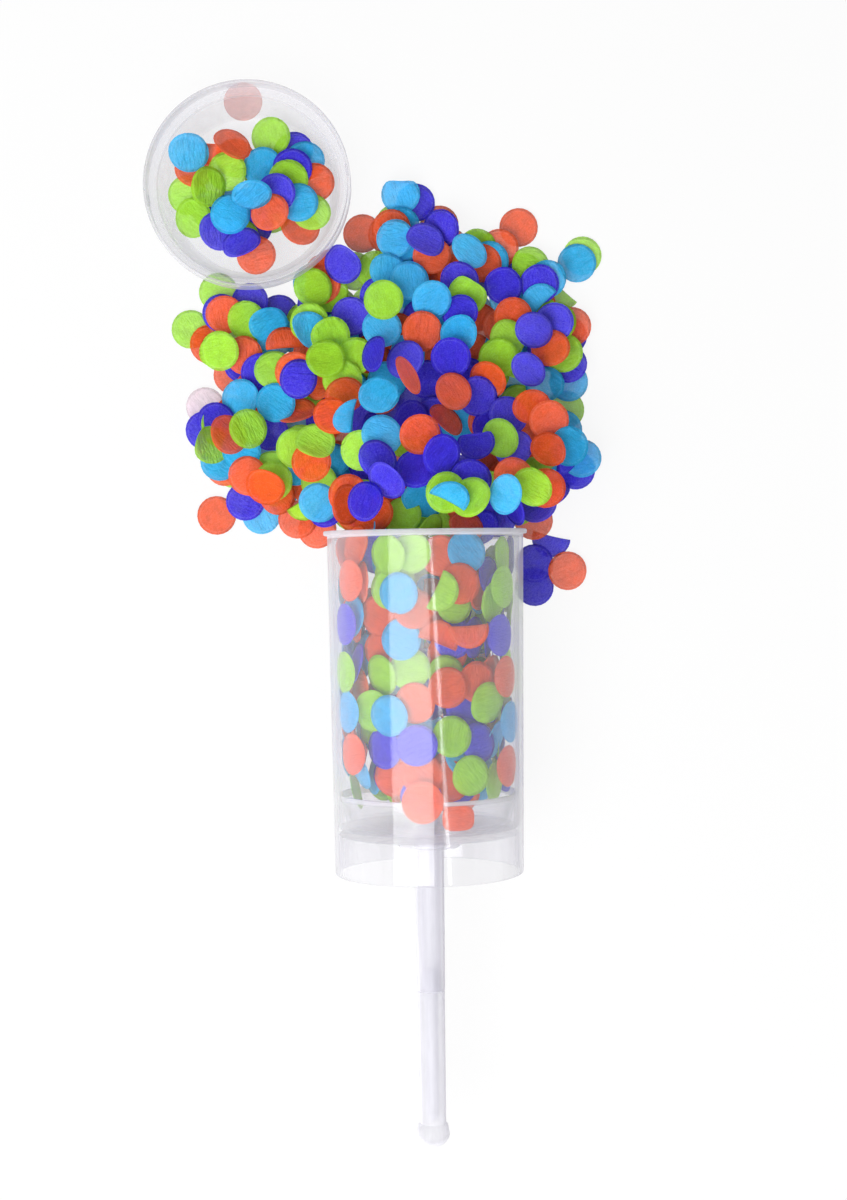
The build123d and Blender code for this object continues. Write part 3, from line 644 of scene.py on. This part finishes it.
# A disc leans and curls towards the side where the most room is, of a few sides taken by chance. A disc at a
# side of the barrel leans in with its lower edge.
disc_notes = []
for index, (name, centre, _, bite) in enumerate(paper):
    room = lifts[index]
    turn = max(disc_chance.uniform(0, 2 * math.pi, LEAN_SIDES), key=lambda turn: lean_room(room, turn))
    lean = disc_chance.choice(MOUTH_LEANS if abs(centre[1]) < NEAR_MOUTH else OTHER_LEANS)
    lean = math.radians(lean * disc_chance.uniform(*LEAN_SPREAD))
    if faces_wall[index] and abs(inward[index][0]) > SIDE_WALL:
        turn = math.atan2(-overs[index][2], -acrosses[index][2])
    lean = 0.0 if resting[index] else min(lean, math.asin(min(1, lean_room(room, turn))))
    side = SAMPLE_SPOTS @ (math.cos(turn), math.sin(turn))
    spare = np.maximum(room - math.sin(lean) * DISC_RADIUS * (1 + side), 0)
    bend_start = disc_chance.uniform(*BEND_STARTS)
    lifted = np.maximum(side + bend_start, 0) / (1 + bend_start)
    bulge = 1 - (SAMPLE_SPOTS ** 2).sum(1)
    wish = disc_chance.uniform(*FLAT_CURLS)
    if not resting[index]:
        wish = disc_chance.choice(CURLS) * disc_chance.uniform(*CURL_SPREAD)
    domed = disc_chance.uniform() < DOMED_SHARE
    wish = min(wish, (spare / np.maximum(bulge if domed else lifted ** 2, 0.02)).min())
    disc_notes.append({
        "facing": facings[index], "across": acrosses[index], "over": overs[index], "up": ways[index],
        "bend": (math.cos(turn), math.sin(turn), 0.0), "bend_start": bend_start,
        "curl": 0.0 if domed else wish, "dome": wish * DOME_HEIGHT if domed else 0.0,
        "lean_rise": math.sin(lean), "lean_draw": math.cos(lean) - 1,
        "bitten": float(bite is not None), "tone": disc_chance.uniform(-1, 1),
        "crinkle_share": FLAT_CRINKLE if resting[index] else 1.0,
    })
for name in paper_nodes:
    own = [index for index, disc in enumerate(paper) if disc[0] == name]
    spots = bpy.data.meshes.new(name + "_spots")
    spots.from_pydata([tuple(centres[index]) for index in own], [], [])
    for key, sample in disc_notes[0].items():
        is_vector = np.ndim(sample) == 1
        noted = spots.attributes.new(key, "FLOAT_VECTOR" if is_vector else "FLOAT", "POINT")
        values = np.array([disc_notes[index][key] for index in own], np.float32)
        noted.data.foreach_set("vector" if is_vector else "value", values.ravel())
    piece = bpy.data.objects.new(name + "_discs", spots)
    bpy.context.scene.collection.objects.link(piece)
    maker = piece.modifiers.new("tissue", "NODES")
    maker.node_group = tissue_tree
    colour = name.rsplit("_", 1)[1]
    for key, setting in (("Disc Radius", DISC_RADIUS), ("Paper Thickness", DISC_THICKNESS),
                         ("Crinkle Height", CRINKLE_HEIGHT), ("Seed", CRINKLE_SEED),
                         ("Tissue", tissues[colour])):
        maker[inputs[key]] = setting
    finished = bpy.data.meshes.new_from_object(piece.evaluated_get(bpy.context.evaluated_depsgraph_get()))
    piece.modifiers.clear()
    piece.data = finished
    for key in [a.name for a in finished.attributes if a.name in disc_notes[0] and a.name != "tone"]:
        finished.attributes.remove(finished.attributes[key])
    bodies = frame["record"]["behaviour"]["bodies"]
    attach(piece, next(body for body, members in bodies.items() if name in members))
    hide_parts(name)


# Slipped discs: two orange tissue discs that have slipped past the piston's lip and lie curved against the
# barrel's wall, one whole and one folded small, discs that cling to the wall at both sides of the barrel, and
# a pale one that lies on the table under the cap's edge.
SLIPPED_GAP = 0.17
SLIPPED_RINGS = 4
SLIPPED_FACETS = 32
SLIPPED_TONE = 0.4
PAPER_SHARP_ANGLE = math.radians(50)
ROUND = 2.0
FOLDED = 3.2
HALF_DISC = DISC_RADIUS / MM
CLINGING = (
    ("orange", -18.3, 72.0), ("violet", -19.6, 61.5), ("lime", -19.9, 50.0), ("sky", -19.3, 40.5),
    ("orange", -18.2, 30.5), ("lime", 18.6, 70.0), ("violet", 17.7, 58.5), ("orange", 19.0, 48.5),
    ("sky", 20.0, 37.5), ("orange", 19.2, 27.0),
)
UNDER_CAP = Vector((-45.3, 112.6, 0.03))
# The disc under the cap's edge has a paler orange and a thinner cover than the other orange discs.
PALE_ORANGE = (0.95, 0.44, 0.38, 1.0)
PALE_COVER = 0.5


def slipped_disc(name, material, squareness, place_of, body):
    """A closed thin disc. A function puts its spots, by shares across and over and by depth, in place."""
    form = bmesh.new()
    disc_place = form.verts.layers.float_vector.new("disc_place")
    tone = form.verts.layers.float.new("tone")
    sides = []
    for depth in (0.0, DISC_THICKNESS / MM):
        rows = []
        for ring in range(SLIPPED_RINGS + 1):
            row = []
            for step in range(SLIPPED_FACETS if ring else 1):
                turn = 2 * math.pi * step / SLIPPED_FACETS
                u, v = (
                    math.copysign(abs(part) ** (2 / squareness), part) * ring / SLIPPED_RINGS
                    for part in (math.cos(turn), math.sin(turn))
                )
                corner = form.verts.new(place_of(u, v, depth))
                corner[disc_place] = (u, v, 0)
                corner[tone] = SLIPPED_TONE
                row.append(corner)
            rows.append(row)
        for inner, outer in zip(rows, rows[1:]):
            for step in range(SLIPPED_FACETS):
                ahead = (step + 1) % SLIPPED_FACETS
                corners = (inner[step % len(inner)], outer[step], outer[ahead], inner[ahead % len(inner)])
                form.faces.new(list(dict.fromkeys(corners)))
        sides.append(rows[-1])
    for step in range(SLIPPED_FACETS):
        ahead = (step + 1) % SLIPPED_FACETS
        form.faces.new((sides[0][step], sides[0][ahead], sides[1][ahead], sides[1][step]))
    bmesh.ops.recalc_face_normals(form, faces=form.faces)
    mesh = bpy.data.meshes.new(name)
    form.to_mesh(mesh)
    form.free()
    mesh.shade_smooth()
    mesh.set_sharp_from_angle(angle=PAPER_SHARP_ANGLE)
    mesh.materials.append(material)
    piece = bpy.data.objects.new(name, mesh)
    bpy.context.scene.collection.objects.link(piece)
    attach(piece, body)


def against_wall(across, height, half_width, half_length):
    """Where a spot of a disc lies that is pressed against the upper side of the bore."""
    def place_of(u, v, depth):
        h = height + v * half_length
        r = bore_at(h) - SLIPPED_GAP - depth
        a = math.asin(across / r) + u * half_width / r
        return lying @ (Vector((r * math.sin(a), -r * math.cos(a), h)) * MM)
    return place_of


def on_table(u, v, depth):
    return UNDER_CAP * MM + Vector((u * DISC_RADIUS, v * DISC_RADIUS, depth * MM))


slipped_disc(
    "slipped_disc_whole", tissues["orange"], ROUND,
    against_wall(across=-1.5, height=19.8, half_width=HALF_DISC, half_length=HALF_DISC), "plunger")
slipped_disc(
    "slipped_disc_folded", tissues["orange"], FOLDED,
    against_wall(across=7.0, height=15.8, half_width=4.0, half_length=2.9), "plunger")
pale_tissue = tissue("pale_orange_tissue_paper", PALE_ORANGE, PALE_COVER)
slipped_disc("slipped_disc_under_cap", pale_tissue, ROUND, on_table, "barrel")
for number, (colour, across, height) in enumerate(CLINGING):
    slipped_disc(
        f"clinging_disc_{number}", tissues[colour], ROUND,
        against_wall(across, height, HALF_DISC, HALF_DISC), "plunger")


# Stage: a white table under a large softbox on the left and a narrow strip light on the right, seen from
# straight above as a flat lay.
TABLE_REACH = 3.0
TABLE_DROP = 0.0001
TABLE_WHITE = (0.93, 0.93, 0.93, 1)
TABLE_GLOW_NEAR = 0.88
TABLE_GLOW_FAR = 0.12
CAMERA_LENS = 58.2
CAMERA_SENSOR = 36.0
CAMERA_PLACE = (-0.0006, -0.0165, 0.500)
CAMERA_TURN = math.radians(-0.8)
HORIZON_GLOW = 0.80
ZENITH_GLOW = 0.22
LAMPS = (
    ("softbox", "DISK", (-0.335, -0.352, 0.76), 0.0, (0.82, 0.82), 8.5),
    ("strip", "RECTANGLE", (0.21, -0.26, 0.80), math.radians(49.0), (0.035, 0.46), 0.42),
)
camera_data = bpy.data.cameras.new("camera")
camera_data.lens = CAMERA_LENS
camera_data.sensor_width = CAMERA_SENSOR
camera = bpy.data.objects.new("camera", camera_data)
camera.location = CAMERA_PLACE
camera.rotation_euler.z = CAMERA_TURN
bpy.context.scene.collection.objects.link(camera)
bpy.context.scene.camera = camera
table_mesh = bpy.data.meshes.new("table")
table_corners = [
    (x * TABLE_REACH, y * TABLE_REACH, -TABLE_DROP) for x, y in ((-1, -1), (1, -1), (1, 1), (-1, 1))
]
table_mesh.from_pydata(table_corners, [], [(0, 1, 2, 3)])
table = bpy.data.objects.new("table", table_mesh)
bpy.context.scene.collection.objects.link(table)
table_white, tree = new_material("table_white")
seen = add(tree, "ShaderNodeLightPath")
direct = seen["Is Camera Ray"] + seen["Is Glossy Ray"] + seen["Is Transmission Ray"]
far = add(tree, "ShaderNodeMapRange", {"interpolation_type": "SMOOTHSTEP"}, {
    "Value": add(tree, "ShaderNodeVectorMath", {"operation": "LENGTH"}, {
        0: add(tree, "ShaderNodeTexCoord")["Object"]})["Value"],
    "From Min": 0.25, "From Max": 0.6, "To Min": 0.0, "To Max": 1.0})[0]
glow = add(tree, "ShaderNodeEmission", {}, {"Color": (1, 1, 1, 1), "Strength": 1.0})[0]
matt = add(tree, "ShaderNodeBsdfDiffuse", {}, {"Color": TABLE_WHITE})[0]
share = direct.math("MINIMUM", direct, 1.0) * (TABLE_GLOW_NEAR + TABLE_GLOW_FAR * far)
white = add(tree, "ShaderNodeMixShader", {}, {0: share, 1: matt, 2: glow})[0]
add(tree, "ShaderNodeOutputMaterial", {}, {"Surface": white})
table_mesh.materials.append(table_white)
for name, shape, place, turn, size, power in LAMPS:
    lamp_data = bpy.data.lights.new(name, "AREA")
    lamp_data.shape = shape
    lamp_data.size, lamp_data.size_y = size
    lamp_data.energy = power
    lamp = bpy.data.objects.new(name, lamp_data)
    lamp.location = place
    lamp.rotation_euler.z = turn
    bpy.context.scene.collection.objects.link(lamp)
world = bpy.data.worlds.new("studio")
world.use_nodes = True
tree = world.node_tree
tree.nodes.clear()
height = add(tree, "ShaderNodeSeparateXYZ", {}, {0: add(tree, "ShaderNodeTexCoord")["Generated"]})[2]
glow = add(tree, "ShaderNodeMapRange", {"interpolation_type": "SMOOTHSTEP"}, {
    "Value": height, "From Min": 0.05, "From Max": 0.7, "To Min": HORIZON_GLOW, "To Max": ZENITH_GLOW})[0]
seen = add(tree, "ShaderNodeLightPath")["Is Camera Ray"]
add(tree, "ShaderNodeOutputWorld", {}, {"Surface": add(tree, "ShaderNodeBackground", {}, {
    "Color": (1, 1, 1, 1), "Strength": seen + (1 - seen) * glow})[0]})
bpy.context.scene.world = world
bpy.context.scene.cycles.transparent_max_bounces = 32
bpy.context.scene.view_settings.view_transform = "Standard"
